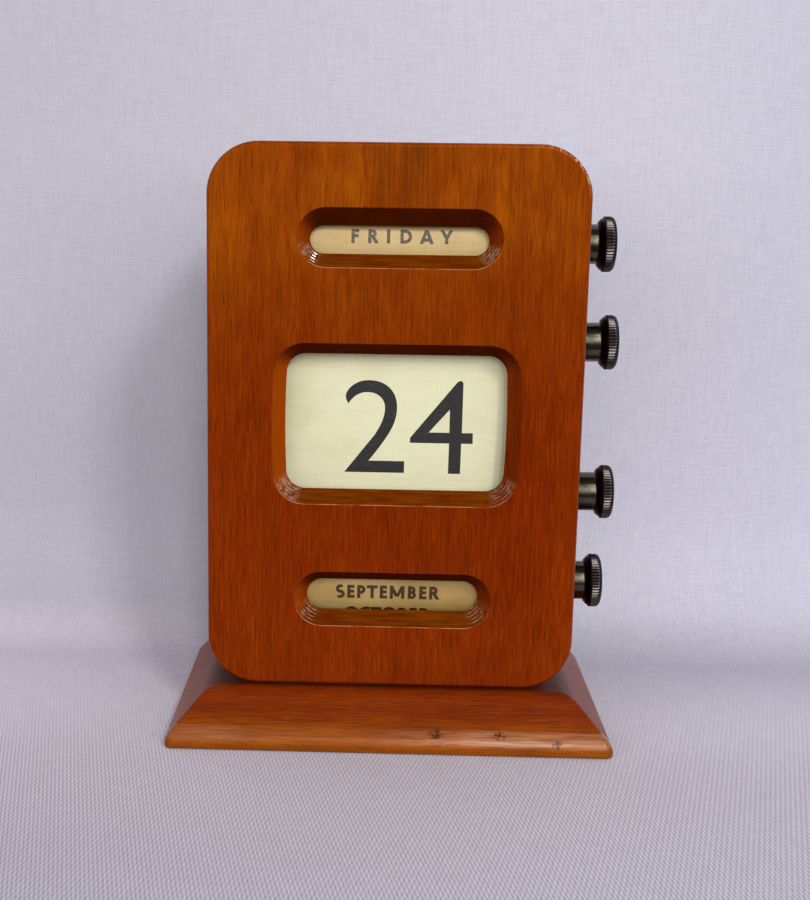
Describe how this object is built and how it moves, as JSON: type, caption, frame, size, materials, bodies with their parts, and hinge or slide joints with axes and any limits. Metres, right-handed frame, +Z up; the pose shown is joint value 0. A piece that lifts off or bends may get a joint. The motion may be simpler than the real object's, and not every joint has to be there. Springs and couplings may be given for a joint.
{
  "type": "perpetual desk calendar",
  "caption": "Wooden desk calendar on a bevelled plinth: three splayed windows show weekday, date and month, set by knurled brass knobs on the right side.",
  "frame": {"origin": "centre of the plinth's footprint, on the surface the calendar stands on", "axes": "+X towards the knobs (right, seen from the front), +Y to the back, +Z up; the windows face -Y"},
  "size_m": [0.1162, 0.069, 0.1532],
  "materials": {
    "plinth_wood": "gloss varnish",
    "case_wood": "gloss varnish",
    "panel_wood": "gloss varnish",
    "baize": "napped",
    "felt": "napped",
    "roller_wood": "bare turned wood",
    "strip_linen": "sized linen, aged",
    "band_linen": "sized linen",
    "pin_steel": "plain drawn",
    "screw_brass": "dull",
    "knob_brass": "dark bronzed patina"
  },
  "bodies": {
    "case": {"base_board": "plinth_wood", "baize_pad": "baize", "base_screws": "screw_brass", "case_bottom": "case_wood", "case_left": "case_wood", "case_right": "case_wood", "case_top": "case_wood", "front_panel": "panel_wood", "back_panel": "panel_wood", "back_screws": "screw_brass", "friction_washers": "felt", "date_band": "band_linen"},
    "day": {"day_drum": "roller_wood", "day_strip": "strip_linen", "day_pin": "pin_steel", "day_knob": "knob_brass"},
    "date_upper": {"date_upper_roller": "roller_wood", "date_upper_roll": "band_linen", "date_upper_pin": "pin_steel", "date_upper_knob": "knob_brass"},
    "date_lower": {"date_lower_roller": "roller_wood", "date_lower_roll": "band_linen", "date_lower_pin": "pin_steel", "date_lower_knob": "knob_brass"},
    "month": {"month_drum": "roller_wood", "month_strip": "strip_linen", "month_pin": "pin_steel", "month_knob": "knob_brass"}
  },
  "joints": [
    {"name": "day_turn", "type": "hinge", "parent": "case", "child": "day", "pos_m": [0, -0.0015, 0.1285], "axis": [1, 0, 0], "continuous": true},
    {"name": "date_upper_turn", "type": "hinge", "parent": "case", "child": "date_upper", "pos_m": [0, -0.0015, 0.103], "axis": [1, 0, 0], "range_deg": [-1405, 5728]},
    {"name": "date_lower_turn", "type": "hinge", "parent": "case", "child": "date_lower", "pos_m": [0, -0.0015, 0.0628], "axis": [1, 0, 0], "range_deg": [-1780, 7255]},
    {"name": "month_turn", "type": "hinge", "parent": "case", "child": "month", "pos_m": [0, -0.0015, 0.0381], "axis": [1, 0, 0], "continuous": true}
  ],
  "couplings": [
    {"joint": "date_lower_turn", "follows": "date_upper_turn", "ratio": 1.266}
  ]
}
